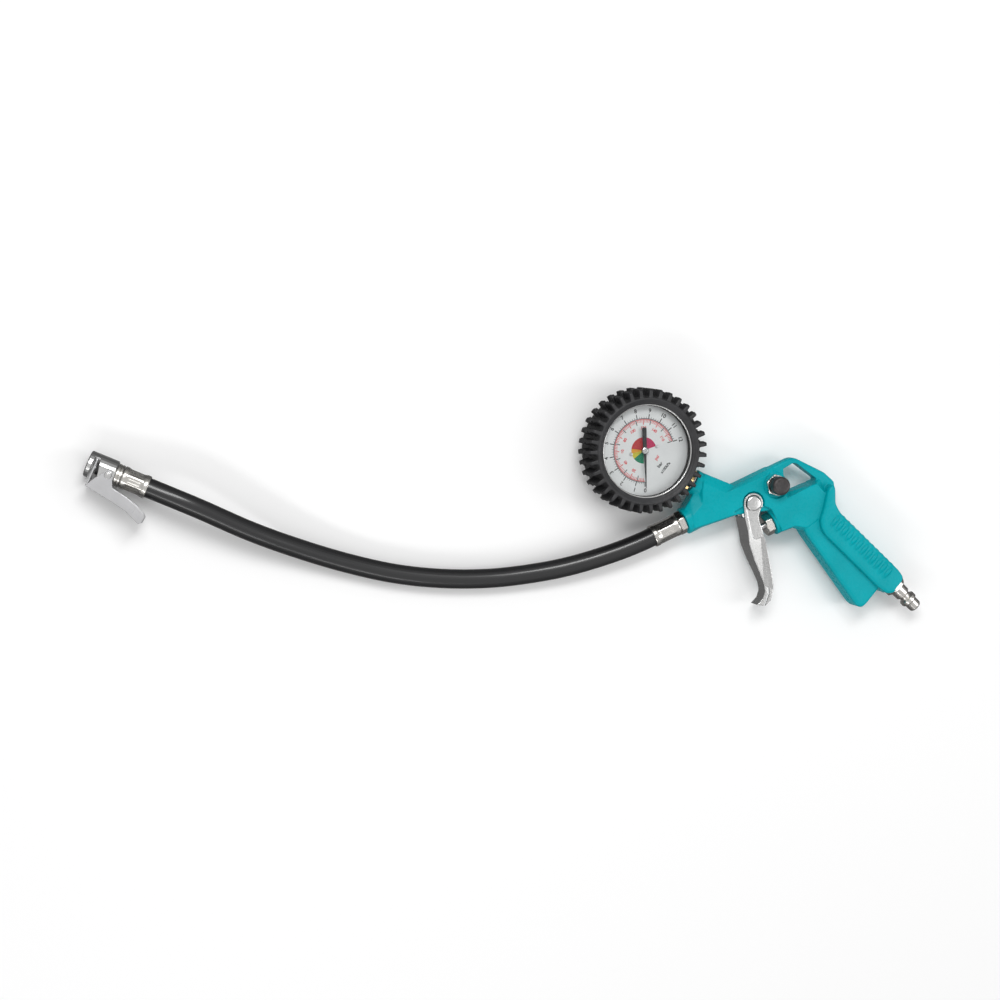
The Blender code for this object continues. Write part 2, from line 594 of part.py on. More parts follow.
# ---------------------------------------------------------------- gauge
def gauge_boot():
    """A rubber cup round the gauge with tyre-like tread lugs."""
    up = Vector((0, 0, 1))
    at = spot(GAUGE)
    inner = CASE_R + GAP
    profile = [(-13.4, 24), (-13.4, 34.6), (-11.4, ROOT_R), (4.0, ROOT_R), (21.6, ROOT_R), (22.8, 35.9),
               (22.9, 35.2), (21.8, 33.4), (20.9, 32.2), (20.8, 31.2), (19.7, 31.1), (19.7, inner - 1.7),
               (19.7, inner), (-12.0, inner), (-12.0, 24)]
    ob = lathe("boot", profile, at, up, steps=48, ring=True)
    lugs = bmesh.new()
    for k in range(LUGS):
        a = 360 * (k + 0.5) / LUGS
        away = (a - STEM_ANGLE + 180) % 360 - 180
        add_lug(lugs, a, 1.2, 9.5, 21.4)
        if abs(away) > 16:
            add_lug(lugs, a + 0.8, 1.5, -2.0, 8.3)
    join(ob, keep("lugs", lugs))
    cut(ob, rod("stem_gap", 8.6, 30, 50, at, turn(STEM_ANGLE), steps=24))
    finish(ob, "gauge_boot", RUBBER)


def add_lug(bm, angle, half, low, high):
    """One tread block, a little narrower at the tread than at its root."""
    first, second = turn(angle), turn(angle + 90)
    rows = []
    for height in (low, high):
        ring = []
        for r, width in ((ROOT_R - 0.5, half + 0.4), (BOOT_R, half)):
            for side in (-1, 1) if r < BOOT_R else (1, -1):
                ring.append(bm.verts.new(spot(GAUGE, height) + first * r + second * width * side))
        rows.append(ring)
    bm.faces.new(rows[0])
    bm.faces.new(rows[1])
    for k in range(4):
        n = (k + 1) % 4
        bm.faces.new([rows[0][k], rows[0][n], rows[1][n], rows[1][k]])


def gauge_shell():
    up = Vector((0, 0, 1))
    at = spot(GAUGE)
    wall = 0.8
    case = [(-11.7, 0), (-11.7, CASE_R - 1.2), (-10.6, CASE_R), (15.0, CASE_R), (15.0, CASE_R - wall),
            (-10.4, CASE_R - wall), (-10.9, CASE_R - 1.6), (-10.9, 0)]
    ob = lathe("case", case, at, up, steps=40)
    cut(ob, rod("stem_hole", 6.4, 28, 36, at, turn(STEM_ANGLE), steps=24))
    finish(ob, "gauge_case", STEEL)
    bezel = [(15.3, 32.3), (15.3, CASE_R), (18.8, CASE_R), (19.4, 32.6), (19.4, 30.8), (18.7, 30.5),
             (18.7, 32.3)]
    lathe("gauge_bezel", bezel, at, up, CHROME, steps=48, ring=True)
    rod("gauge_lens", 32.0, 16.6, 18.4, at, up, CLEAR, steps=40)
    tube("lens_gasket", 30.4, 32.0, 15.3, 16.3, at, up, RUBBER, steps=40)
    plate = tube("dial", 1.5, 31.4, 11.5, 12.0, at, up, steps=40)
    for side in (-1, 1):
        cut(plate, rod("hole", 0.75, 9, 14, screw_place(side), up, steps=12))
    finish(plate, "dial_plate", DIAL)
    for name, side in (("dial_screw_a", -1), ("dial_screw_b", 1)):
        screw = [(9.3, 0), (9.3, 0.65), (12.1, 0.65), (12.1, 1.3), (12.5, 1.2), (12.7, 0)]
        lathe(name, screw, screw_place(side), up, STEEL, steps=16)
        rod(f"dial_post_{name[-1]}", 1.5, 4.6, 9.0, screw_place(side), up, BRASS, steps=16)


def screw_place(side):
    """The dial's two screws lie either side of the centre, level with it."""
    return spot(GAUGE) + turn(STEM_ANGLE + 45) * 9.5 * side


def gear_outline(centre, teeth, start, first, last):
    """Involute-like teeth from index first to last; start is the angle of tooth 0's middle."""
    pitch_r = MODULE * teeth / 2
    outer, root = pitch_r + 0.8 * MODULE, pitch_r - 1.1 * MODULE
    base = pitch_r * math.cos(math.radians(20))
    half_pitch = math.pi / (2 * teeth) - 0.05 / pitch_r
    inv20 = math.tan(math.radians(20)) - math.radians(20)
    outline = []
    for k in range(first, last + 1):
        middle = math.radians(start) + 2 * math.pi * k / teeth
        flank = []
        for share in (0.0, 0.5, 1.0):
            r = max(base, root + 0.05) + (outer - max(base, root + 0.05)) * share
            press = math.acos(min(base / r, 1))
            half = half_pitch + inv20 - (math.tan(press) - press)
            flank.append((r, half))
        rise = [(root, flank[0][1])] + flank
        for r, half in rise:
            outline.append((centre.x + r * math.cos(middle - half), centre.y + r * math.sin(middle - half)))
        for r, half in reversed(rise):
            outline.append((centre.x + r * math.cos(middle + half), centre.y + r * math.sin(middle + half)))
    return outline


def movement():
    """Plates, shafts, sector, pinion, hairspring, link and the Bourdon tube that drives them."""
    up = Vector((0, 0, 1))
    at = spot(GAUGE)
    pivot = at + turn(SECTOR_ANGLE) * SECTOR_R
    rest = -SECTOR_SWEEP / 2
    stem = turn(STEM_ANGLE)
    side = turn(STEM_ANGLE + 90)
    lower = [at + stem * 27 + side * 4, at + turn(20) * 12, pivot + turn(SECTOR_ANGLE - 45) * 4,
             pivot + turn(SECTOR_ANGLE + 90) * 4, at + turn(200) * 12.5, at + stem * 12 - side * 13,
             at + stem * 27 - side * 4]
    plate = prism("plate", [tuple(p[:2]) for p in lower], 3.7, 4.3)
    cut(plate, rod("a", 0.8, 0, 6, at, up, steps=12), rod("b", 0.8, 0, 6, pivot, up, steps=12))
    finish(plate, "movement_plate_lower", BRASS)
    upper = [at + turn(20) * 12, pivot + turn(SECTOR_ANGLE - 45) * 4, pivot + turn(SECTOR_ANGLE + 90) * 4,
             at + turn(200) * 12.5, at - side * 8]
    plate = prism("plate", [tuple(p[:2]) for p in upper], 9.3, 9.9)
    cut(plate, rod("a", 0.8, 8, 11, at, up, steps=12), rod("b", 0.8, 8, 11, pivot, up, steps=12),
        rod("c", 0.9, 8, 11, screw_place(1), up, steps=12), rod("d", 0.9, 8, 11, screw_place(-1), up, steps=12))
    finish(plate, "movement_plate_upper", BRASS)
    pinion_outline = gear_outline(at, PINION_TEETH, SECTOR_ANGLE + 180 / PINION_TEETH, 0, PINION_TEETH - 1)
    pinion = prism("gear", pinion_outline, 5.9, 7.3)
    join(pinion, rod("shaft", 0.72, 3.2, 14.4, at, up, steps=12))
    re_origin(pinion, at)
    finish(pinion, "pinion_shaft", BRASS)
    reach = math.ceil((SECTOR_SWEEP / 2 + 9) * SECTOR_TEETH / 360)
    toothed = gear_outline(pivot, SECTOR_TEETH, SECTOR_ANGLE + 180, -reach, reach)
    tail_way = turn(SECTOR_ANGLE)
    tail_side = turn(SECTOR_ANGLE + 90)
    tail = [pivot - tail_side * 2.4 + tail_way * 0.6, pivot - tail_side * 1.3 + tail_way * (TAIL + 1.4),
            pivot + tail_side * 1.3 + tail_way * (TAIL + 1.4), pivot + tail_side * 2.4 + tail_way * 0.6]
    outline = toothed + [tuple(p[:2]) for p in tail]
    sector = prism("sector", outline, 5.9, 7.3)
    join(sector, rod("drop_pin", 0.5, 4.7, 6.2, pivot + tail_way * TAIL, up, steps=12))
    cut(sector, rod("bore", 0.78, 5, 9, pivot, up, steps=12))
    spin_about(sector, pivot, rest)
    re_origin(sector, pivot)
    finish(sector, "sector_gear", BRASS)
    rod("sector_shaft", 0.7, 3.2, 10.3, pivot, up, STEEL, steps=12)
    spiral = []
    for i in range(49):
        a = math.radians(40 + 22 * i)
        spiral.append(at + Vector((math.cos(a), math.sin(a), 0)) * (1.1 + 0.075 * i) + up * 8.3)
    sweep("hairspring", spiral, 0.09, 0.35, up, STEEL, sides=4)
    tail_now = pivot + turn(SECTOR_ANGLE + rest) * TAIL
    tip = at + turn(TIP_ANGLE) * TUBE_R
    link(tail_now, tip)
    bourdon(at, tip)


def spin_about(ob, centre, angle):
    """Turn a mesh about a vertical axis through a point in millimetres."""
    there = Matrix.Translation(centre * MM)
    ob.data.transform(there @ Matrix.Rotation(math.radians(angle), 4, "Z") @ there.inverted())


def link(tail, tip):
    """The bar from the tube's tip to the sector's tail, slotted where the tail's pin sits."""
    up = Vector((0, 0, 1))
    way = (tip - tail).normalized()
    wide = up.cross(way)
    corners = [tail - way * 1.8 + wide * 2.0, tail - way * 1.8 - wide * 2.0, tip + way * 1.2 - wide * 1.1,
               tip + way * 1.2 + wide * 1.1]
    bar = prism("bar", [tuple(p[:2]) for p in corners], 4.8, 5.3)
    slot = [tail + way * 0.85 + wide * 1.25, tail - way * 0.85 + wide * 1.25,
            tail - way * 0.85 - wide * 1.25, tail + way * 0.85 - wide * 1.25]
    cut(bar, prism("slot", [tuple(p[:2]) for p in slot], 4, 6),
        rod("tip_hole", 0.62, 4, 6, tip, up, steps=12))
    finish(bar, "movement_link", STEEL)
    block = [(-2.8, 0), (-2.8, 2.0), (3.6, 2.0), (3.6, 0.5), (5.8, 0.5), (5.8, 0)]
    lathe("tube_tip", block, spot(tip[:2]), up, BRASS, steps=16)


def bourdon(at, tip):
    """A flattened tube bent most of the way round, from the socket to its free tip."""
    up = Vector((0, 0, 1))
    start, end = STEM_ANGLE - 12, TIP_ANGLE - 360 + 7
    count = 32
    points = [at + turn(start + (end - start) * i / count) * TUBE_R for i in range(count + 1)]
    sweep("bourdon_tube", points, 0.8, 2.6, up, BRASS, sides=8)
    stem = turn(STEM_ANGLE)
    side = turn(STEM_ANGLE + 90)
    block = [at + stem * 14 + side * 5, at + stem * 14 - side * 3.4, at + stem * 30 - side * 3.4,
             at + stem * 30 + side * 5]
    socket = prism("socket", [tuple(p[:2]) for p in block], -3.2, 3.4)
    face = STEM_FACE - 1.3
    join(socket, rod("neck", 4.6, 29, 39, at, stem), hexagon("hexagon", 14.0, 37.4, face, at, stem, phase=30),
         rod("thread", 4.85, face - 1, STEM_FACE + 8, at, stem))
    cut(socket, rod("bore", 1.4, 20, STEM_FACE + 10, at, stem, steps=16))
    finish(socket, "gauge_socket", BRASS)
    tube("stem_washer", 5.1, 7.0, face + 0.15, STEM_FACE - 0.2, at, stem, STEEL, steps=28)


def pointer():
    """A thin needle with a broad tail and a round hub, at zero pressure."""
    at = spot(GAUGE)
    way, wide = turn(POINTER_ZERO), turn(POINTER_ZERO + 90)
    thin = [at + way * 25.5 + wide * 0.15, at + way * 25.5 - wide * 0.15, at + way * 2 - wide * 0.9,
            at - way * 4 - wide * 1.3, at - way * 14.8 - wide * 1.5, at - way * 15.6 - wide * 0.9,
            at - way * 15.6 + wide * 0.9, at - way * 14.8 + wide * 1.5, at - way * 4 + wide * 1.3,
            at + way * 2 + wide * 0.9]
    ob = prism("needle", [tuple(p[:2]) for p in thin], 14.1, 14.6)
    join(ob, rod("hub", 2.2, 13.4, 15.2, at, Vector((0, 0, 1))))
    cut(ob, rod("bore", 0.78, 12, 14.7, at, Vector((0, 0, 1)), steps=12))
    re_origin(ob, at)
    finish(ob, "pointer", NEEDLE)


# ---------------------------------------------------------------- the whole object
for old in list(bpy.data.objects):
    bpy.data.objects.remove(old)
gun_body()
trigger_lever()
trigger_pin()
trigger_valve()
bleed_valve()
inlet_plug()
hose_fitting()
hose()
ferrule("chuck_ferrule", chuck_point(0), chuck_axes()[0], 20.4, 2.8)
chuck_tail()
chuck_body()
chuck_lever()
chuck_inside()
gauge_boot()
gauge_shell()
movement()
pointer()
for ob in bpy.data.objects:
    ob.location += Vector((*TO_CENTRE, 0)) * MM
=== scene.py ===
"""Looks of the tyre inflator: cast and painted pistol body, plated fittings, moulded rubber boot,
printed dial, glossy hose. Plan sizes are in millimetres in the row frame; heights are measured
from the gun's middle plane unless a name says otherwise."""
import json
import math

import bmesh
import bpy
from mathutils import Matrix, Vector

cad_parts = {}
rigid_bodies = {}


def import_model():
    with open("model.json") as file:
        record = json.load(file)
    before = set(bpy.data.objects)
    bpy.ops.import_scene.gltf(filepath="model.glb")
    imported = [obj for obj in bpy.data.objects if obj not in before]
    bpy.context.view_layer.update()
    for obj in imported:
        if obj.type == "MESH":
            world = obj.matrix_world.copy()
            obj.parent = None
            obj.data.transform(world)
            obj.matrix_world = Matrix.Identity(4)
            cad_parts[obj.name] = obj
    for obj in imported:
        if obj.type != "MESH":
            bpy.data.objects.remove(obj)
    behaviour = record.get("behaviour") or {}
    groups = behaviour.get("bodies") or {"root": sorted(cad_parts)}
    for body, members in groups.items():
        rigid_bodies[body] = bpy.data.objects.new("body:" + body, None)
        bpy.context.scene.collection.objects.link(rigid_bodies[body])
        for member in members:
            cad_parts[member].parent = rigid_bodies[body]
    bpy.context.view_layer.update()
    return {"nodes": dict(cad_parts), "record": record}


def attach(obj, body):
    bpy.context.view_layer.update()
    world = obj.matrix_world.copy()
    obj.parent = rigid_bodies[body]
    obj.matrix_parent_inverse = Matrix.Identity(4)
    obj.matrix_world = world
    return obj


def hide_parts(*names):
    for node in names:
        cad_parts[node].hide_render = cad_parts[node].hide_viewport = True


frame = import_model()

# ---------------------------------------------------------------- driving dimensions, as in the CAD
MM = 0.001
MID = 13.5  # height of the gun's middle plane above the floor
BARREL_ANGLE = 24.0
NOSE = (-49.6, -14.5)  # where the hose fitting screws in
VALVE = (14.6, -17.0)
BLEED = (14.6, 9.5)
PIVOT = (-2.1, -2.6)  # the trigger's pin
GRIP_END = (105.1, -61.5)  # where the air plug screws in
GRIP_ANGLE = 137.0
GAUGE = (-82.4, 35.3)
STEM_ANGLE = -30.0
CASE_R = 33.0  # the gauge's steel case
ROOT_R = 36.6  # the boot between its tread blocks
TREAD_R = 42.0  # the boot over its tread blocks
HOSE_R = 6.5
FERRULE_GUN = (5.3, 24.6)  # start and end of the sleeve, out from the nose
FERRULE_CHUCK = (20.4, 2.8)  # the same, along the chuck from its hose end
CHUCK = (-412.6, 16.0, 17.9)
CHUCK_ANGLE = 156.6
CHUCK_TILT = 12.0
POINTER_ZERO = 272.3
TO_CENTRE = Vector((-0.8, 2.0, 0))  # from these places to the middle of the whole tool
UP = Vector((0, 0, 1))


# ---------------------------------------------------------------- places
def turn(angle):
    """The level direction at an angle in degrees from +X."""
    return Vector((math.cos(math.radians(angle)), math.sin(math.radians(angle)), 0))


def spot(xy, height=0.0):
    """A point over the plan point xy, at a height from the gun's middle plane."""
    return Vector((xy[0], xy[1], MID + height)) + TO_CENTRE


def chuck_axes():
    """The chuck's own directions: out of its mouth, across towards its lever, and up."""
    tilt = math.radians(CHUCK_TILT)
    out = turn(CHUCK_ANGLE) * math.cos(tilt) - UP * math.sin(tilt)
    return out, turn(CHUCK_ANGLE + 90), UP * math.cos(tilt) + turn(CHUCK_ANGLE) * math.sin(tilt)


def chuck_point(along, across=0.0, height=0.0):
    """A point in the chuck's own directions, from its hose end."""
    out, side, up = chuck_axes()
    return Vector(CHUCK) + TO_CENTRE + out * along + side * across + up * height


# ---------------------------------------------------------------- camera, floor and light
def stage():
    """A long lens looks down on the tool from a little to its left, over a pale floor."""
    left, above, distance = math.radians(16), math.radians(5), 1.7
    back = Vector((-math.sin(left) * math.cos(above), math.sin(above), math.cos(left) * math.cos(above)))
    right = (-back).cross(Vector((0, 1, 0))).normalized()
    top = right.cross(-back)
    camera = bpy.data.objects.new("camera", bpy.data.cameras.new("camera"))
    camera.data.sensor_width = 36
    camera.data.lens = 91.8
    camera.data.clip_end = 20
    placed = Matrix((right, top, back)).transposed().to_4x4()
    placed.translation = Vector((-0.1808, 0.0053, 0.015)) + back * distance
    camera.matrix_world = placed
    bpy.context.scene.collection.objects.link(camera)
    bpy.context.scene.camera = camera

    bpy.context.scene.view_settings.view_transform = "Standard"

    bpy.ops.mesh.primitive_plane_add(size=9, location=(0, 0, -0.0004))
    floor = bpy.context.object
    floor.name = "floor"
    floor.visible_glossy = False
    paint = bpy.data.materials.new("floor_white")
    paint.use_nodes = True
    shader = paint.node_tree.nodes["Principled BSDF"]
    shader.inputs["Base Color"].default_value = (0.95, 0.95, 0.95, 1)
    shader.inputs["Roughness"].default_value = 0.9
    shader.inputs["Specular IOR Level"].default_value = 0.1
    floor.data.materials.append(paint)

    lamp("key", (-0.35, 0.75, 1.25), (0.9, 0.35), 9.5, (-0.05, 0.0, 0))
    lamp("fill", (0.95, -0.1, 0.9), (0.4, 0.9), 3.2, (0.02, 0, 0))
    lamp("front", (-0.6, -0.9, 0.8), (1.3, 0.16), 3.2, (-0.15, 0, 0))
    sky()


def lamp(name, place, size, power, aim):
    data = bpy.data.lights.new(name, "AREA")
    data.shape = "RECTANGLE"
    data.size, data.size_y = size
    data.energy = power
    ob = bpy.data.objects.new(name, data)
    ob.location = place
    ob.rotation_euler = (Vector(aim) - Vector(place)).to_track_quat("-Z", "Y").to_euler()
    bpy.context.scene.collection.objects.link(ob)


def sky():
    """A soft box overhead over darker sides, so that plating and gloss have something to reflect."""
    world = bpy.data.worlds.new("studio")
    bpy.context.scene.world = world
    world.use_nodes = True
    tree = world.node_tree
    tree.nodes.clear()
    where = tree.nodes.new("ShaderNodeTexCoord")
    split = tree.nodes.new("ShaderNodeSeparateXYZ")
    level = tree.nodes.new("ShaderNodeMapRange")
    ramp = tree.nodes.new("ShaderNodeValToRGB")
    glow = tree.nodes.new("ShaderNodeBackground")
    out = tree.nodes.new("ShaderNodeOutputWorld")
    level.inputs["From Min"].default_value = -1.0
    stops = ((0.0, 0.30), (0.30, 0.16), (0.47, 0.22), (0.60, 0.42), (0.74, 0.64), (0.9, 0.95), (1.0, 1.0))
    fill_ramp(ramp, [(place, (v, v, v, 1)) for place, v in stops])
    tree.links.new(where.outputs["Generated"], split.inputs[0])
    tree.links.new(split.outputs["Z"], level.inputs["Value"])
    tree.links.new(level.outputs[0], ramp.inputs[0])
    tree.links.new(ramp.outputs[0], glow.inputs["Color"])
    tree.links.new(glow.outputs[0], out.inputs[0])
    glow.inputs["Strength"].default_value = 0.68


def fill_ramp(ramp, stops):
    """Give a colour ramp these (position, colour) stops and no others."""
    elements = ramp.color_ramp.elements
    while len(elements) > 1:
        elements.remove(elements[-1])
    elements[0].position, elements[0].color = stops[0]
    for place, colour in stops[1:]:
        elements.new(place).color = colour


# ---------------------------------------------------------------- materials
class Surface:
    """Builds one Principled material with procedural colour, roughness and relief."""

    def __init__(self, name, colour, roughness, metallic=0.0, **sockets):
        self.material = bpy.data.materials.new(name)
        self.material.use_nodes = True
        self.tree = self.material.node_tree
        self.shader = self.tree.nodes["Principled BSDF"]
        self.shader.inputs["Base Color"].default_value = (*colour, 1)
        self.shader.inputs["Roughness"].default_value = roughness
        self.shader.inputs["Metallic"].default_value = metallic
        for socket, value in sockets.items():
            self.shader.inputs[socket.replace("_", " ")].default_value = value
        self.normal = None

    def add(self, kind, **values):
        node = self.tree.nodes.new(kind)
        for key, value in values.items():
            if hasattr(node, key):
                setattr(node, key, value)
            else:
                node.inputs[key.replace("_", " ")].default_value = value
        return node

    def link(self, a, b):
        self.tree.links.new(a, b)

    def noise(self, scale, detail=3.0, stretch=(1, 1, 1), turned=(0, 0, 0)):
        """A noise value over the object's own coordinates, in features per metre."""
        where = self.add("ShaderNodeTexCoord")
        mapping = self.add("ShaderNodeMapping")
        mapping.inputs["Scale"].default_value = stretch
        mapping.inputs["Rotation"].default_value = [math.radians(a) for a in turned]
        noise = self.add("ShaderNodeTexNoise", Scale=scale, Detail=detail)
        self.link(where.outputs["Object"], mapping.inputs["Vector"])
        self.link(mapping.outputs[0], noise.inputs["Vector"])
        return noise.outputs["Fac"]

    def vary_roughness(self, source, low, high, start=0.3, end=0.7):
        ramp = self.add("ShaderNodeMapRange")
        ramp.inputs["From Min"].default_value = start
        ramp.inputs["From Max"].default_value = end
        ramp.inputs["To Min"].default_value = low
        ramp.inputs["To Max"].default_value = high
        self.link(source, ramp.inputs["Value"])
        self.link(ramp.outputs[0], self.shader.inputs["Roughness"])

    def vary_colour(self, source, first, second, start=0.35, end=0.65):
        ramp = self.add("ShaderNodeValToRGB")
        fill_ramp(ramp, [(start, (*first, 1)), (end, (*second, 1))])
        self.link(source, ramp.inputs[0])
        self.link(ramp.outputs[0], self.shader.inputs["Base Color"])

    def relief(self, source, depth_mm, strength=1.0):
        """Adds a bump of a depth in millimetres on top of any relief already there."""
        bump = self.add("ShaderNodeBump")
        bump.inputs["Strength"].default_value = strength
        bump.inputs["Distance"].default_value = depth_mm * MM
        self.link(source, bump.inputs["Height"])
        if self.normal:
            self.link(self.normal, bump.inputs["Normal"])
        self.normal = bump.outputs[0]
        self.link(self.normal, self.shader.inputs["Normal"])


def teal_paint():
    """Sprayed enamel over a casting: glossy, with a slight orange peel."""
    s = Surface("teal_paint_gloss", (0.0, 0.345, 0.395), 0.3, Specular_IOR_Level=0.13)
    s.vary_colour(s.noise(55, 4), (0.0, 0.333, 0.378), (0.0, 0.372, 0.424))
    s.vary_roughness(s.noise(420, 3), 0.22, 0.36)
    s.relief(s.noise(520, 2), 0.035, 0.6)
    s.relief(s.noise(90, 2), 0.10, 0.4)
    return s.material


def plating(name, tone, low, high, stretch=(1, 1, 1), turned=(0, 0, 0), marks=0.012):
    """Bright plate with soft blotches, fine polishing lines and a trace of handling."""
    s = Surface(name, tone, low, 1.0)
    s.vary_colour(s.noise(130, 4), tuple(c * 0.93 for c in tone), tone)
    s.vary_roughness(s.noise(1500, 4, stretch, turned), low, high)
    s.relief(s.noise(1900, 2, stretch, turned), marks, 0.5)
    s.relief(s.noise(240, 2), 0.03, 0.35)
    return s.material


def rubber(name, tone, low, high):
    """Moulded rubber with a fine grain and a little bloom."""
    s = Surface(name, tone, low, IOR=1.5)
    s.vary_colour(s.noise(160, 5), tuple(c * 0.8 for c in tone), tuple(c * 1.25 for c in tone))
    s.vary_roughness(s.noise(700, 4), low, high)
    s.relief(s.noise(2600, 2), 0.04, 0.5)
    s.relief(s.noise(300, 3), 0.06, 0.4)
    return s.material


def hose_rubber():
    """Extruded rubber: glossy, with faint lines along its length from the die."""
    s = Surface("hose_black", (0.010, 0.010, 0.011), 0.3, Coat_Weight=0.5, Coat_Roughness=0.16, IOR=1.5)
    where = s.add("ShaderNodeTexCoord")
    mapping = s.add("ShaderNodeMapping")
    mapping.inputs["Scale"].default_value = (1.0, 90.0, 1.0)
    lines = s.add("ShaderNodeTexNoise", Scale=1.0, Detail=2.0)
    s.link(where.outputs["UV"], mapping.inputs["Vector"])
    s.link(mapping.outputs[0], lines.inputs["Vector"])
    s.vary_roughness(lines.outputs["Fac"], 0.22, 0.4)
    s.relief(lines.outputs["Fac"], 0.05, 0.5)
    s.relief(s.noise(1200, 3), 0.02, 0.5)
    return s.material


def plastic():
    """Satin moulded plastic for the bleed button."""
    s = Surface("cap_black", (0.03, 0.026, 0.027), 0.4, IOR=1.5)
    s.vary_colour(s.noise(400, 4), (0.022, 0.02, 0.021), (0.045, 0.038, 0.038))
    s.vary_roughness(s.noise(900, 3), 0.33, 0.5)
    s.relief(s.noise(3000, 2), 0.02, 0.6)
    return s.material


def dial_silver():
    """Satin silver lacquer, brushed a little, under the dial's print."""
    s = Surface("dial_silver", (0.74, 0.75, 0.75), 0.42, 0.25)
    s.vary_colour(s.noise(60, 3), (0.72, 0.73, 0.73), (0.78, 0.79, 0.79))
    s.vary_roughness(s.noise(1400, 3, (1, 12, 1)), 0.36, 0.5)
    s.relief(s.noise(2600, 2, (1, 10, 1)), 0.006, 0.5)
    return s.material


def ink(name, tone):
    """Screen-printed ink, a little uneven in tone and shine."""
    s = Surface(name, tone, 0.5)
    s.vary_colour(s.noise(1500, 3), tuple(c * 0.85 for c in tone), tuple(min(c * 1.12, 1) for c in tone))
    s.vary_roughness(s.noise(2000, 2), 0.45, 0.6)
    return s.material


def lens_clear():
    """A clear plastic window: it lets the dial show and catches a little light."""
    s = Surface("lens_clear", (1, 1, 1), 0.03)
    s.tree.nodes.remove(s.shader)
    through = s.add("ShaderNodeBsdfTransparent")
    through.inputs["Color"].default_value = (0.985, 0.99, 0.99, 1)
    shine = s.add("ShaderNodeBsdfGlossy")
    shine.inputs["Roughness"].default_value = 0.06
    edge = s.add("ShaderNodeFresnel")
    edge.inputs["IOR"].default_value = 1.28
    bump = s.add("ShaderNodeBump")
    bump.inputs["Strength"].default_value = 0.3
    bump.inputs["Distance"].default_value = 0.05 * MM
    s.link(s.noise(60, 2), bump.inputs["Height"])
    s.link(bump.outputs[0], shine.inputs["Normal"])
    mix = s.add("ShaderNodeMixShader")
    s.link(edge.outputs[0], mix.inputs[0])
    s.link(through.outputs[0], mix.inputs[1])
    s.link(shine.outputs[0], mix.inputs[2])
    s.link(mix.outputs[0], s.tree.nodes["Material Output"].inputs["Surface"])
    return s.material


PAINT = teal_paint()
CHROME = plating("chrome_bright", (0.72, 0.72, 0.715), 0.12, 0.24)
# The trigger lever's plate is a darker copy of the bright chrome: painted shade that tones down the key
# lamp's highlight on the lever.
SHADED_LEVER_CHROME = plating("chrome_lever_painted_shade", (0.60, 0.60, 0.595), 0.18, 0.32)
NICKEL = plating("nickel_satin", (0.71, 0.69, 0.655), 0.17, 0.3)
STEEL = plating("steel_bright", (0.56, 0.56, 0.57), 0.24, 0.42, (1, 14, 1), (0, 0, -23), 0.02)
BRASS = plating("brass_turned", (0.78, 0.56, 0.26), 0.2, 0.36)
BOOT = rubber("boot_black", (0.021, 0.021, 0.023), 0.42, 0.6)
SEAL = rubber("seal_black", (0.02, 0.02, 0.02), 0.5, 0.65)
HOSE = hose_rubber()
CAP = plastic()
SILVER = dial_silver()
BLACK_INK = ink("ink_black", (0.02, 0.02, 0.022))
RED_INK = ink("ink_red", (0.70, 0.055, 0.06))
LENS = lens_clear()


# ---------------------------------------------------------------- mesh helpers
def keep(name, bm, surface, body, node=None, smooth=35):
    """Turn a bmesh in millimetres into a piece in metres that rides on a body."""
    bmesh.ops.recalc_face_normals(bm, faces=bm.faces)
    bmesh.ops.scale(bm, verts=bm.verts, vec=(MM, MM, MM))
    mesh = bpy.data.meshes.new(name)
    bm.to_mesh(mesh)
    bm.free()
    mesh.materials.append(surface)
    mesh.shade_smooth()
    mesh.set_sharp_from_angle(angle=math.radians(smooth))
    ob = bpy.data.objects.new(name, mesh)
    bpy.context.scene.collection.objects.link(ob)
    if body:
        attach(ob, body)
    if node:
        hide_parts(node)
    return ob


def axes(direction):
    """A unit vector along a direction, and two across it."""
    first = direction.normalized()
    helper = UP if abs(first.z) < 0.9 else Vector((1, 0, 0))
    second = helper.cross(first).normalized()
    return first, second, first.cross(second)


def close_rows(bm, rows):
    """Faces between neighbouring rows of points, and one over each end."""
    for low, high in zip(rows, rows[1:]):
        for k in range(len(low)):
            n = (k + 1) % len(low)
            bm.faces.new([low[k], low[n], high[n], high[k]])
    bm.faces.new(rows[0])
    bm.faces.new(rows[-1])


def spin(bm, profile, at, direction, steps=96, ring=False, shape=None):
    """Spin (distance along, radius) pairs round an axis; shape(angle, along, r) can change a radius."""
    first, second, third = axes(direction)
    rows = []
    for along, radius in profile:
        centre = at + first * along
        if radius < 1e-6:
            rows.append([bm.verts.new(centre)])
            continue
        row = []
        for k in range(steps):
            a = 2 * math.pi * k / steps
            r = shape(a, along, radius) if shape else radius
            row.append(bm.verts.new(centre + (second * math.cos(a) + third * math.sin(a)) * r))
        rows.append(row)
    pairs = list(zip(rows, rows[1:]))
    if ring:
        pairs.append((rows[-1], rows[0]))
    for low, high in pairs:
        for k in range(steps):
            n = (k + 1) % steps
            face = [low[k % len(low)], low[n % len(low)], high[n % len(high)], high[k % len(high)]]
            face = list(dict.fromkeys(face))
            if len(face) > 2:
                bm.faces.new(face)
    if not ring:
        for row in (rows[0], rows[-1]):
            if len(row) > 1:
                bm.faces.new(row)


def rounded(profile, radius=0.25, segments=3, closed=False):
    """The same profile with each corner replaced by a small arc."""
    count = len(profile)
    result = []
    for i, here in enumerate(profile):
        if not closed and i in (0, count - 1):
            result.append(here)
            continue
        before, after = Vector(profile[i - 1]), Vector(profile[(i + 1) % count])
        corner = Vector(here)
        a, b = before - corner, after - corner
        trim = min(radius, a.length * 0.45, b.length * 0.45)
        if trim < 0.01 or corner.y < 1e-6:
            result.append(here)
            continue
        start, end = corner + a.normalized() * trim, corner + b.normalized() * trim
        for k in range(segments + 1):
            t = k / segments
            p = start * (1 - t) ** 2 + corner * 2 * t * (1 - t) + end * t * t
            result.append((p.x, p.y))
    return result


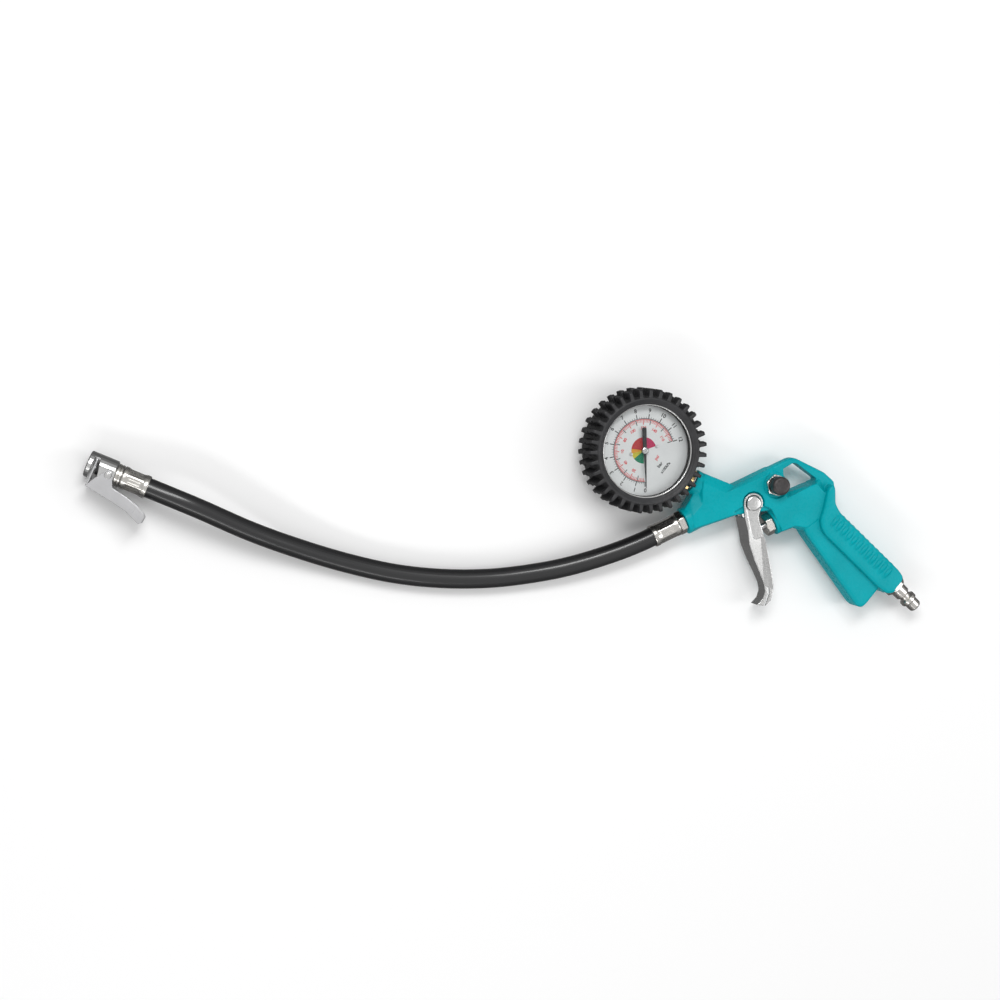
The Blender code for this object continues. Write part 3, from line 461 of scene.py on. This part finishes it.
def lathe(name, profile, at, direction, surface, body, node=None, ring=False, steps=96, soft=0.25,
          shape=None):
    """A turned piece whose profile has small rounded corners."""
    bm = bmesh.new()
    spin(bm, rounded(profile, soft, closed=ring), at, direction, steps, ring, shape)
    return keep(name, bm, surface, body, node)


def hexagon(across, low, high, phase=0.0, core=6.0):
    """A shape for spin: flats between two stations, where the profile is wider than the core."""
    def shape(a, along, r):
        if r <= core or not low < along < high:
            return r
        part = (a - math.radians(phase)) % (math.pi / 3) - math.pi / 6
        return min(across / 2 / math.cos(part), r)
    return shape


def refine(name, node, body, surface, voxel, rounds, extra=()):
    """A cast or pressed piece: the CAD shape at a fine grain, with its corners softened."""
    mesh = frame["nodes"][node].data.copy()
    ob = bpy.data.objects.new(name, mesh)
    bpy.context.scene.collection.objects.link(ob)
    bm = bmesh.new()
    bm.from_mesh(mesh)
    bmesh.ops.remove_doubles(bm, verts=bm.verts, dist=1e-6)
    bm.to_mesh(mesh)
    bm.free()
    for operation, other in extra:
        if operation == "JOIN":
            bm = bmesh.new()
            bm.from_mesh(ob.data)
            bm.from_mesh(other.data)
            bm.to_mesh(ob.data)
            bm.free()
        else:
            change = ob.modifiers.new("join", "BOOLEAN")
            change.operation = operation
            change.solver = "EXACT"
            change.object = other
            apply_all(ob)
        bpy.data.objects.remove(other)
    change = ob.modifiers.new("grain", "REMESH")
    change.mode = "VOXEL"
    change.voxel_size = voxel * MM
    change.use_smooth_shade = True
    change = ob.modifiers.new("soften", "SMOOTH")
    change.factor = 0.5
    change.iterations = rounds
    apply_all(ob)
    ob.data.materials.clear()
    ob.data.materials.append(surface)
    ob.data.shade_smooth()
    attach(ob, body)
    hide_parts(node)
    return ob


def apply_all(ob):
    """Make an object's modifiers part of its mesh."""
    graph = bpy.context.evaluated_depsgraph_get()
    made = bpy.data.meshes.new_from_object(ob.evaluated_get(graph))
    ob.modifiers.clear()
    ob.data = made


# ---------------------------------------------------------------- hose
HOSE_IN = 8.0  # how far the hose starts out from the nose
HOSE_END = 18.0  # how far it runs on past the chuck's hose end
ROUTE = [(-82.6, -28.9, 13.2), (-99.8, -35.0, 12.0), (-124.6, -42.0, 10.0), (-149.2, -46.7, 8.2),
         (-182.6, -49.9, 7.0), (-215.9, -49.2, 6.8), (-248.8, -45.0, 6.9), (-281.7, -36.9, 7.8),
         (-315.0, -26.0, 11.5), (-348.4, -13.0, 17.5), (-381.0, 2.2, 21.6), (-398.2, 9.8, 21.0)]


def smooth_path(points, spacing):
    """Points about a given distance apart on a Catmull-Rom curve through the given ones."""
    dense = []
    ends = [points[0] * 2 - points[1]] + points + [points[-1] * 2 - points[-2]]
    for a, b, c, d in zip(ends, ends[1:], ends[2:], ends[3:]):
        for k in range(16):
            t = k / 16
            dense.append(0.5 * ((2 * b) + (c - a) * t + (2 * a - 5 * b + 4 * c - d) * t * t
                                + (3 * b - a - 3 * c + d) * t ** 3))
    dense.append(points[-1])
    total = sum((b - a).length for a, b in zip(dense, dense[1:]))
    count = round(total / spacing)
    picked, run, want = [dense[0]], 0.0, total / count
    for a, b in zip(dense, dense[1:]):
        step = (b - a).length
        while run + step >= want and len(picked) < count:
            picked.append(a.lerp(b, (want - run) / step))
            want += total / count
        run += step
    return picked + [points[-1]], total


def hose():
    """The hose on its route, from the nose fitting into the chuck."""
    back = -turn(BARREL_ANGLE)
    near = [spot(NOSE) + back * HOSE_IN, spot(NOSE) + back * FERRULE_GUN[1]]
    far = [chuck_point(FERRULE_CHUCK[1]), chuck_point(HOSE_END)]
    path, length = smooth_path(near + [Vector(p) + TO_CENTRE for p in ROUTE] + far, 4.0)
    curve = bpy.data.curves.new("hose_tube", "CURVE")
    curve.dimensions = "3D"
    curve.bevel_depth = HOSE_R * MM
    curve.bevel_resolution = 12
    curve.use_fill_caps = True
    spline = curve.splines.new("POLY")
    spline.points.add(len(path) - 1)
    for point, p in zip(spline.points, path):
        point.co = (p.x * MM, p.y * MM, p.z * MM, 1)
    spline.use_smooth = True
    ob = bpy.data.objects.new("hose_tube", curve)
    bpy.context.scene.collection.objects.link(ob)
    curve.materials.append(HOSE)
    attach(ob, "gun")
    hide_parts("hose")
    return ob, path[0], length


# ---------------------------------------------------------------- gun body
RIBS = 12
RIB_START = Vector((61.9, -10.0, 0))
RIB_STEP = Vector((3.62, -3.36, 0))
RIB_SIDES = 12
GRIP_BACK = Vector((0.680, 0.733, 0))  # points out of the back of the grip


def rib(bm, k):
    """A rounded finger rib that wraps over the back of the grip and fades out on its faces."""
    # distance in from the grip's back edge, height and radius along the rib
    section = [(13.0, 12.6, 0.5), (11.6, 13.0, 1.3), (9.6, 13.2, 1.7), (6.9, 13.2, 1.8), (4.8, 12.6, 1.8),
               (3.0, 11.4, 1.75), (1.9, 9.7, 1.7), (1.3, 7.2, 1.6), (1.1, 3.6, 1.6), (1.1, 0, 1.6),
               (1.1, -3.6, 1.6), (1.3, -7.2, 1.6), (1.9, -9.7, 1.6), (3.1, -11.3, 1.5), (4.9, -12.3, 1.2)]
    along = RIB_STEP.normalized()
    surface = RIB_START + RIB_STEP * k
    points = [spot(surface - GRIP_BACK * inset, z) for inset, z, _ in section]
    rows = []
    for i, here in enumerate(points):
        run = (points[min(i + 1, len(points) - 1)] - points[max(i - 1, 0)]).normalized()
        rise = along.cross(run)
        size = section[i][2]
        rows.append([bm.verts.new(here + (along * math.cos(a) + rise * math.sin(a)) * size)
                     for a in (2 * math.pi * n / RIB_SIDES for n in range(RIB_SIDES))])
    close_rows(bm, rows)


def body():
    """The painted casting, with its ribs grown into it."""
    ribs = bmesh.new()
    for k in range(RIBS):
        rib(ribs, k)
    refine("body_casting", "gun_body", "gun", PAINT, 0.42, 3, [("JOIN", keep("ribs", ribs, PAINT, None))])


# ---------------------------------------------------------------- fittings
def ferrule(name, node, at, direction, start, end):
    """A crimped sleeve: a collar at each end and eight pressed flats between."""
    run = 1 if end > start else -1
    inner = HOSE_R + 0.25
    profile = [(start, inner), (start, 7.25), (start + 0.5 * run, 7.6), (start + 2.0 * run, 7.6),
               (start + 2.8 * run, 7.35), (start + 5 * run, 7.35), (end - 6 * run, 7.35),
               (end - 3.4 * run, 7.35), (end - 2.6 * run, 7.6), (end - 0.6 * run, 7.6), (end, 7.25),
               (end, inner)]
    low, high = sorted((start + 2.8 * run, end - 3.4 * run))

    def pressed(a, along, r):
        if r < 7.0 or not low < along < high:
            return r
        ease = min((along - low) / 1.6, (high - along) / 1.6, 1)
        wave = 0.5 + 0.5 * math.cos(8 * a)
        return r - 0.42 * max(ease, 0) * min(wave * 1.6, 1)

    dense = []
    for (s0, r0), (s1, r1) in zip(profile, profile[1:]):
        cuts = max(1, int(abs(s1 - s0) / 0.5))
        dense += [(s0 + (s1 - s0) * k / cuts, r0 + (r1 - r0) * k / cuts) for k in range(cuts)]
    dense.append(profile[-1])
    bm = bmesh.new()
    spin(bm, dense, at, direction, 128, True, pressed)
    keep(name, bm, NICKEL, "gun", node, smooth=50)


def fittings():
    """The two crimped sleeves, the hexagon in the nose and the quick-release plug."""
    back = -turn(BARREL_ANGLE)
    nose = spot(NOSE)
    ferrule("ferrule_gun", "gun_ferrule", nose, back, *FERRULE_GUN)
    ferrule("ferrule_chuck", "chuck_ferrule", chuck_point(0), chuck_axes()[0], *FERRULE_CHUCK)
    hexed = [(-8.5, 2.5), (-8.5, 4.85), (0.25, 4.85), (0.3, 7.1), (0.75, 8.15), (4.5, 8.15), (5.0, 7.2),
             (5.05, 5.6), (7.2, 5.6), (7.2, 2.5)]
    lathe("fitting_nut", hexed, nose, back, NICKEL, "gun", "hose_fitting", True, 144, 0.12,
          hexagon(14.5, 0.27, 5.02))
    out = -turn(GRIP_ANGLE)
    end = spot(GRIP_END)
    plug = [(-8.5, 2.6), (-8.5, 4.85), (2.25, 4.85), (2.3, 6.9), (2.7, 7.9), (5.1, 7.9), (5.6, 6.9),
            (5.7, 5.6), (6.6, 5.5), (12.2, 5.3), (13.3, 4.05), (15.6, 4.0), (16.5, 5.9), (19.2, 5.9),
            (20.0, 4.7), (25.2, 4.6), (26.2, 3.9), (26.2, 2.6)]
    lathe("air_plug", plug, end, out, NICKEL, "gun", "inlet_plug", True, 144, 0.25,
          hexagon(14.0, 2.27, 5.65))


def chuck():
    """The chuck's turned collar, its shell, and the pressed clip lever."""
    tail = [(18.4, 1.6), (18.4, 5.4), (20.8, 5.4), (20.8, 7.2), (21.2, 7.5), (22.4, 7.5), (22.7, 7.1),
            (23.0, 7.1), (23.3, 7.5), (24.6, 7.5), (24.65, 4.05), (28.5, 4.05), (28.5, 1.6)]
    lathe("chuck_collar", tail, chuck_point(0), chuck_axes()[0], NICKEL, "gun", "chuck_tail", True, 96, 0.15)
    refine("chuck_shell", "chuck_body", "gun", CHROME, 0.16, 4)
    refine("clip_pressing", "chuck_lever", "clip", STEEL, 0.14, 3)


# ---------------------------------------------------------------- trigger, valve and bleed
def pocket_outline():
    """The hollow pressed into each ear: round at the pin, then down the cheek inside its rim."""
    ring = []
    for k in range(15):
        a = math.radians(-30 + 225 * k / 14)
        ring.append((PIVOT[0] + 5.6 * math.cos(a), PIVOT[1] + 5.6 * math.sin(a)))
    return ring + [(-6.6, -9), (-4.9, -17), (-3.4, -23.6), (-2.2, -26.2), (0.2, -27.6), (2.6, -27.2),
                   (4.4, -25.2), (12, -24), (12, -8)]


def flat_slab(bm, outline, low, high):
    """A slab between two heights over a plan outline."""
    close_rows(bm, [[bm.verts.new(spot(xy, z)) for xy in outline] for z in (low, high)])


def controls():
    """The pressed trigger and its pin, the valve's gland nut, and the bleed button on its hexagon."""
    pockets = bmesh.new()
    for low, high in ((8.35, 11), (-11, -8.35)):  # the outer 1 mm of each ear
        flat_slab(pockets, pocket_outline(), low, high)
    # The lever wears the darker chrome copy, painted shade against the lamp's highlight.
    refine("trigger_pressing", "trigger_lever", "trigger", SHADED_LEVER_CHROME, 0.22, 4,
           [("DIFFERENCE", keep("pockets", pockets, CHROME, None))])
    pin = [(-9.95, 0), (-9.95, 1.6), (-9.6, 2.2), (9.7, 2.2), (9.7, 5.0), (10.2, 5.25), (10.9, 5.0),
           (11.25, 4.2), (11.3, 0)]
    lathe("pin_head", pin, spot(PIVOT), UP, CHROME, "gun", "trigger_pin", soft=0.3)
    nut = [(-6.0, 2.35), (-6.0, 6.6), (-5.4, 7.9), (-0.9, 7.9), (-0.3, 6.9), (-0.25, 5.85), (8.6, 5.85),
           (8.6, 2.35)]
    lathe("gland_nut", nut, spot(VALVE), turn(BARREL_ANGLE), NICKEL, "gun", "valve_gland_nut", True, 144,
          0.15, hexagon(14.0, -7.0, -0.28, core=6.2))
    at = spot(BLEED)
    nut = [(8.3, 4.35), (8.3, 6.9), (8.7, 7.7), (10.5, 7.7), (11.0, 6.7), (11.0, 3.2), (13.4, 3.2),
           (13.4, 1.72), (0, 1.72), (0, 4.35)]
    lathe("bleed_hexagon", nut, at, UP, NICKEL, "gun", "bleed_nut", True, 144, 0.15,
          hexagon(13.5, 8.2, 11.1, phase=12, core=6.2))
    cap = [(13.5, 5.3), (13.5, 6.2), (13.9, 6.4), (18.2, 6.35), (19.2, 6.0), (19.75, 5.2), (19.95, 4.4),
           (19.75, 3.9), (19.7, 0), (18.1, 0), (18.1, 5.3)]
    lathe("bleed_button", cap, at, UP, CAP, "bleed", "bleed_cap", True, 96, 0.3)


# ---------------------------------------------------------------- gauge boot
LUGS = 35
STEM_CLEAR = 16  # degrees either side of the stem without rear blocks


def boot():
    """Rubber cup with staggered tread blocks like those of an off-road tyre."""
    at = spot(GAUGE)
    inner = CASE_R + 0.3
    profile = [(-13.4, 24), (-13.4, 34.0), (-12.2, 35.9), (-10.6, ROOT_R), (4.0, ROOT_R), (20.2, ROOT_R),
               (22.3, 36.0), (22.9, 35.2), (22.5, 34.5), (22.0, 34.2), (22.2, 33.8), (21.9, 33.3),
               (21.3, 33.0), (21.4, 32.6), (21.1, 32.0), (20.5, 31.4), (19.7, 31.1), (19.7, inner - 1.6),
               (19.75, inner), (-12.0, inner), (-12.0, 24)]
    bm = bmesh.new()
    spin(bm, rounded(profile, 0.2, closed=True), at, UP, 240, True)
    shell = keep("boot_shell", bm, BOOT, None)
    blocks = bmesh.new()
    for k in range(LUGS):
        a = 360 * (k + 0.5) / LUGS
        away = (a - STEM_ANGLE + 180) % 360 - 180
        tread_block(blocks, at, a, 1.15, [(22.1, 0.2), (20.6, 0.3), (15.0, 1.3), (9.5, -0.4)])
        if abs(away) > STEM_CLEAR:
            tread_block(blocks, at, a + 0.8, 1.5, [(8.3, 0.8), (3.2, -0.8), (-2.0, 0.6)])
    lugs = keep("boot_lugs", blocks, BOOT, None)
    for operation, other in (("UNION", lugs), ("DIFFERENCE", stem_gap(at))):
        change = shell.modifiers.new("join", "BOOLEAN")
        change.operation = operation
        change.solver = "EXACT"
        change.object = other
        apply_all(shell)
        bpy.data.objects.remove(other)
    change = shell.modifiers.new("grain", "REMESH")
    change.mode = "VOXEL"
    change.voxel_size = 0.42 * MM
    change = shell.modifiers.new("soften", "SMOOTH")
    change.factor = 0.5
    change.iterations = 3
    apply_all(shell)
    shell.name = "boot_tread"
    shell.data.materials.clear()
    shell.data.materials.append(BOOT)
    shell.data.shade_smooth()
    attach(shell, "gun")
    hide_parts("gauge_boot")


def tread_block(bm, at, angle, half, stations):
    """One tread block through (height, lean in degrees) stations; it thins where it meets the shoulder."""
    rings = []
    for height, lean in stations:
        first = turn(angle + lean)
        second = turn(angle + lean + 90)
        top = TREAD_R if height < 21 else TREAD_R - 1.6
        ring = [at + first * (ROOT_R - 2.0) - second * (half + 0.5) + UP * height,
                at + first * top - second * half + UP * height,
                at + first * top + second * half + UP * height,
                at + first * (ROOT_R - 2.0) + second * (half + 0.5) + UP * height]
        rings.append([bm.verts.new(p) for p in ring])
    close_rows(bm, rings)


def stem_gap(at):
    """The round hole in the boot that the gauge's stem comes out through."""
    bm = bmesh.new()
    spin(bm, [(30, 0), (30, 8.6), (50, 8.6), (50, 0)], at, turn(STEM_ANGLE), 48)
    return keep("stem_gap", bm, BOOT, None)


# ---------------------------------------------------------------- dial print
FACE = 12.0  # height of the dial's face
ARC_R = 21.0  # where the two scales meet
BAR_STEP = 21.87  # degrees for each bar
PSI_STEP = 15.07  # degrees for each 10 psi


def flat_ring(bm, inner, outer, start, end, height, centre):
    """A flat band between two angles, a hair above the dial."""
    steps = max(2, int(abs(end - start) / 2))
    rows = []
    for k in range(steps + 1):
        way = turn(start + (end - start) * k / steps)
        rows.append((bm.verts.new(centre + way * inner + UP * height),
                     bm.verts.new(centre + way * outer + UP * height)))
    for low, high in zip(rows, rows[1:]):
        bm.faces.new([low[0], low[1], high[1], high[0]])


def tick(bm, angle, inner, outer, width, height, centre):
    """A straight mark across the scale."""
    way, wide = turn(angle), turn(angle + 90)
    corners = [centre + way * inner - wide * width / 2, centre + way * outer - wide * width / 2,
               centre + way * outer + wide * width / 2, centre + way * inner + wide * width / 2]
    bm.faces.new([bm.verts.new(p + UP * height) for p in corners])


def bar_angle(value):
    """Angle of a reading in bar; the scale starts a little late, as on most such dials."""
    return POINTER_ZERO if value == 0 else 278 - BAR_STEP * value


def print_layer(name, bm, surface):
    """A layer of the dial's print, facing up."""
    ob = keep(name, bm, surface, "gun")
    for face in ob.data.polygons:
        if face.normal.z < 0:
            face.flip()
    return ob


def number(text, angle, radius, size, surface, name, turned=0.0):
    """Lettering centred at an angle and radius from the dial's middle."""
    curve = bpy.data.curves.new(name, "FONT")
    curve.body = text
    curve.size = size * MM
    curve.align_x = "CENTER"
    curve.align_y = "CENTER"
    curve.extrude = 0.02 * MM
    curve.offset = 0.08 * MM
    curve.materials.append(surface)
    ob = bpy.data.objects.new(name, curve)
    ob.location = (spot(GAUGE, FACE + 0.04) + turn(angle) * radius) * MM
    ob.rotation_euler = (0, 0, math.radians(turned))
    bpy.context.scene.collection.objects.link(ob)
    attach(ob, "gun")


def upright(angle):
    """Numbers stand with their feet towards the hub, as printed round a dial."""
    return angle - 90


def dial():
    """The printed scales, the coloured zones, the unit names and the needle's hub."""
    centre = spot(GAUGE)
    black, red = bmesh.new(), bmesh.new()
    h = FACE + 0.03
    last = bar_angle(12)
    flat_ring(black, ARC_R + 0.2, ARC_R + 0.65, POINTER_ZERO, last, h, centre)
    flat_ring(red, ARC_R - 0.5, ARC_R, POINTER_ZERO, last, h, centre)
    for value in range(0, 13):
        angle = bar_angle(value)
        tick(black, angle, ARC_R + 0.4, ARC_R + 3.6, 0.62, h, centre)
        if value < 12:
            after = bar_angle(value + 1)
            for share in (0.2, 0.4, 0.6, 0.8):
                tick(black, angle + (after - angle) * share, ARC_R + 0.4, ARC_R + 1.7, 0.28, h, centre)
        number(str(value), angle, 26.9, 3.7, BLACK_INK, f"bar_{value}", upright(angle))
    for step in range(1, 18):
        angle = POINTER_ZERO - step * PSI_STEP
        tick(black if step % 2 else red, angle, ARC_R - 3.6, ARC_R - 0.2, 0.55, h, centre)
        for share in (0.2, 0.4, 0.6, 0.8):
            tick(red, angle + PSI_STEP * share, ARC_R - 2.2, ARC_R - 0.2, 0.38, h, centre)
        if step % 2 == 0:
            number(str(step * 10), angle, ARC_R - 5.9, 2.7, RED_INK, f"psi_{step}", upright(angle))
    print_layer("print_black", black, BLACK_INK)
    print_layer("print_red", red, RED_INK)
    sectors = (("green", 270, 219, (0.0, 0.20, 0.10)), ("yellow", 219, 192, (0.56, 0.50, 0.04)),
               ("orange", 192, 172, (0.72, 0.32, 0.03)), ("red", 172, 100, (0.47, 0.03, 0.035)),
               ("crimson", 100, 18, (0.50, 0.02, 0.10)))
    for name, start, end, tone in sectors:
        bm = bmesh.new()
        flat_ring(bm, 0.8, 8.9, start, end, h, centre)
        print_layer(f"zone_{name}", bm, ink(f"zone_{name}_ink", tone))
    number("psi", 331, 10.6, 3.0, RED_INK, "unit_red", 50)
    number("bar", 319, 15.2, 3.2, BLACK_INK, "unit_black", 50)
    number("x100kPa", 322, 19.6, 2.7, BLACK_INK, "unit_small", 50)
    hub = [(15.25, 0), (15.25, 2.3), (15.5, 2.4), (15.9, 2.2), (16.1, 1.7), (16.15, 0.55), (15.95, 0.4),
           (15.95, 0)]
    lathe("hub_cap", hub, centre, UP, CHROME, "pointer_shaft", soft=0.1)


def gauge():
    """The bezel, the boot and the dial."""
    at = spot(GAUGE)
    bezel = [(15.3, 32.3), (15.3, CASE_R), (18.9, CASE_R), (19.35, 32.5), (19.5, 31.6), (19.4, 30.9),
             (19.1, 30.6), (18.7, 30.5), (18.7, 32.3)]
    lathe("bezel_ring", bezel, at, UP, CHROME, "gun", "gauge_bezel", True, 200, 0.15)
    boot()
    dial()


# ---------------------------------------------------------------- carried-over nodes
def dress_nodes():
    """Give every CAD node that still shows its own surface and soft edges."""
    table = {
        "chrome_plate": CHROME, "nickel_plate": NICKEL, "bright_steel": STEEL, "brass": BRASS,
        "black_rubber": SEAL, "black_plastic": CAP, "dial_face": SILVER, "needle_black": BLACK_INK,
        "clear_lens": LENS, "teal_paint": PAINT,
    }
    slots = {s["node"]: s["material_slot"] for s in frame["record"]["subparts"]}
    for name, ob in frame["nodes"].items():
        ob.data.materials.clear()
        ob.data.materials.append(table[slots[name]])
        if ob.hide_render or name in ("gauge_lens", "dial_plate"):
            continue
        weld = ob.modifiers.new("weld", "WELD")
        weld.merge_threshold = 0.00001
        bevel = ob.modifiers.new("soft_edges", "BEVEL")
        bevel.width = 0.12 * MM
        bevel.segments = 2
        bevel.limit_method = "ANGLE"
        bevel.angle_limit = math.radians(35)
        bevel.harden_normals = False


stage()
hose_piece, hose_start, hose_length = hose()
fittings()
chuck()
body()
controls()
gauge()
dress_nodes()
on_hose = [bpy.data.objects[n] for n in ("ferrule_chuck", "chuck_collar", "chuck_shell", "clip_pressing")]
on_hose += [frame["nodes"][n] for n in ("chuck_rivet_front", "chuck_rivet_back", "chuck_seal",
                                        "chuck_depressor", "chuck_spring")]
bpy.context.view_layer.update()
